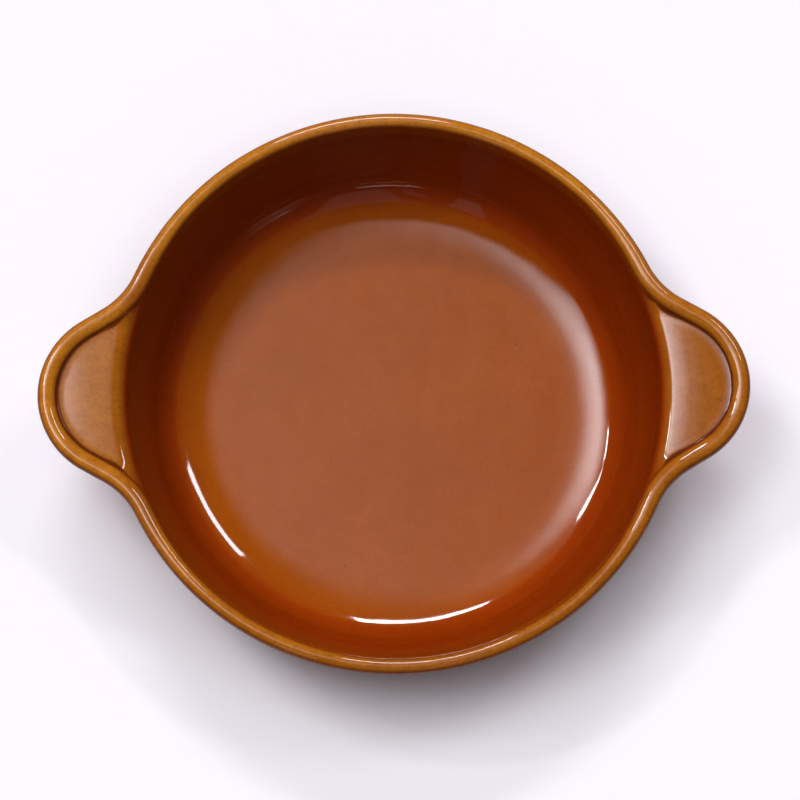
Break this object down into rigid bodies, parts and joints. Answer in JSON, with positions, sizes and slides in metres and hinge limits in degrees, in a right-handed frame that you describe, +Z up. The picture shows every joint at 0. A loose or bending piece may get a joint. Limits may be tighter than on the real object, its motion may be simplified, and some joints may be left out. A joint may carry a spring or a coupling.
{
  "type": "gratin dish",
  "caption": "Round glazed gratin dish with a rolled rim bead that runs out round two side lugs, a shallow thumb well in each lug, a leaning wall and a low foot ring.",
  "frame": {"origin": "centre of the foot ring's face, on the surface the dish stands on", "axes": "+Z up, +X along the lugs"},
  "size_m": [0.211, 0.17, 0.0395],
  "materials": {
    "glaze": "gloss"
  },
  "bodies": {
    "root": {"dish": "glaze"}
  },
  "joints": []
}
